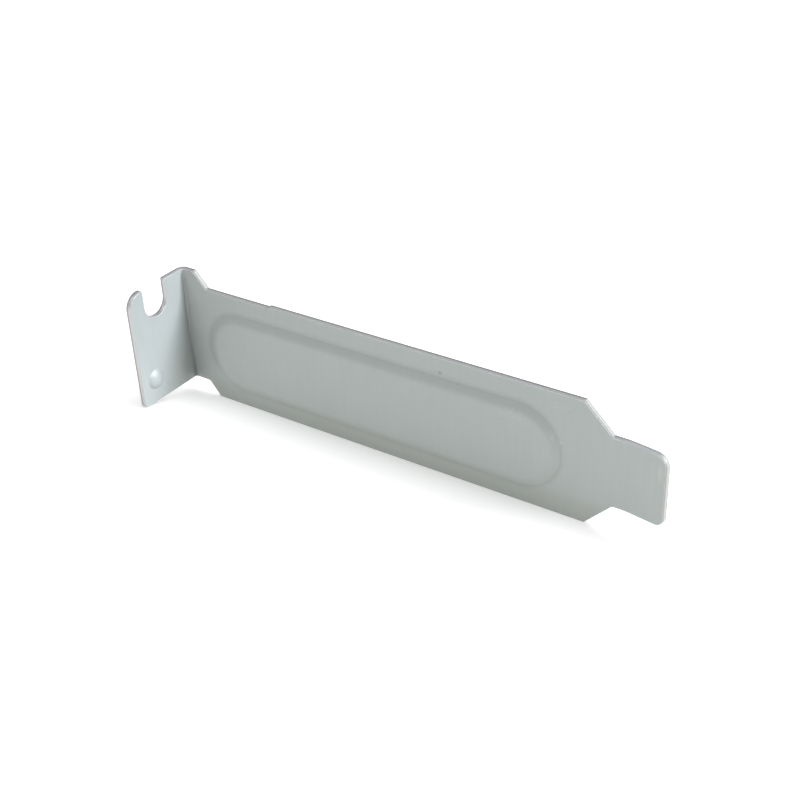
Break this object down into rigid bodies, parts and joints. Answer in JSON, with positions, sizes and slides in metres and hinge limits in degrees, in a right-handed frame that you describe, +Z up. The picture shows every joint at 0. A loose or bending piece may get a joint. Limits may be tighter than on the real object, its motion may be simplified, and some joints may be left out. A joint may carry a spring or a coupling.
{
  "type": "expansion slot cover bracket",
  "caption": "Low-profile blanking bracket for a computer expansion slot: a flat embossed panel with a folded screw tab and a narrow end tongue.",
  "frame": {"origin": "on the table, under the middle of the part's box as it lies at rest on the panel's long lower edge and the tab's lower free corner", "axes": "+X along the panel from the tab to the tongue, +Z up; the tab folds towards -Y and the panel leans 12.28 degrees from plumb, its upper edge towards -Y"},
  "size_m": [0.0792, 0.0158, 0.0204],
  "materials": {
    "plated_steel": "satin zinc plating with a faint rolled grain, bare at the cut edges"
  },
  "bodies": {
    "root": {"slot_cover": "plated_steel"}
  },
  "joints": []
}
